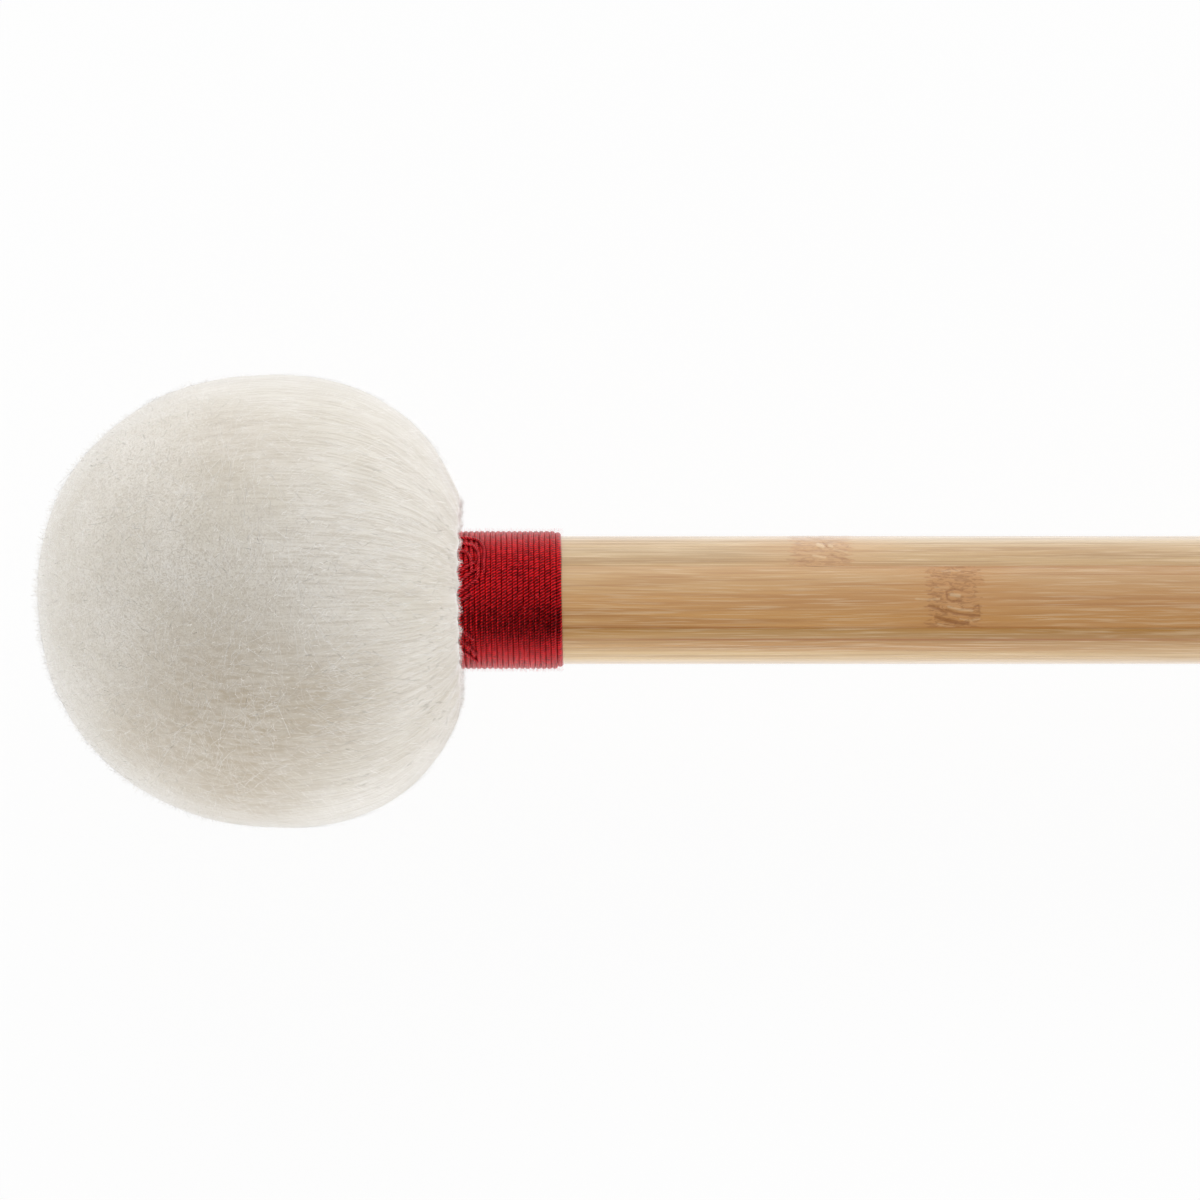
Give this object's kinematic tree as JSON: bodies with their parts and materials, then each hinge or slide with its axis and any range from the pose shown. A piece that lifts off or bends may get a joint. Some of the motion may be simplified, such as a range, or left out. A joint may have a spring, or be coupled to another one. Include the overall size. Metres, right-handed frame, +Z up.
{
  "type": "drum mallet",
  "caption": "Bass drum mallet with a round soft wool head, a thread whipping at its neck and a straight laminated bamboo shaft, lying as on a table.",
  "frame": {"origin": "on the table that the mallet lies on, under the middle of its length", "axes": "+X runs from the head to the butt, +Z is up; the shaft slopes down about 4 degrees from the head to the butt"},
  "size_m": [0.3796, 0.068, 0.0675],
  "materials": {
    "bamboo": "laminated bamboo, turned round, sanded and thinly oiled, with fine lengthwise fibres",
    "maple": "turned maple, unfinished, hidden inside the head",
    "dense_felt": "hard grey-white felt, hidden",
    "wool_batting": "loose wool batting, hidden",
    "wool_fleece": "brushed natural off-white wool with a short fuzzy nap",
    "cotton_thread": "plain cotton drawstring, hidden",
    "red_thread": "twisted dark red yarn, matt, slightly fuzzy"
  },
  "bodies": {
    "root": {"bamboo_strip_left": "bamboo", "bamboo_strip_middle": "bamboo", "bamboo_strip_right": "bamboo", "head_core": "maple", "core_felt": "dense_felt", "wool_padding": "wool_batting", "wool_cover": "wool_fleece", "neck_tie": "cotton_thread", "whipping": "red_thread"}
  },
  "joints": []
}
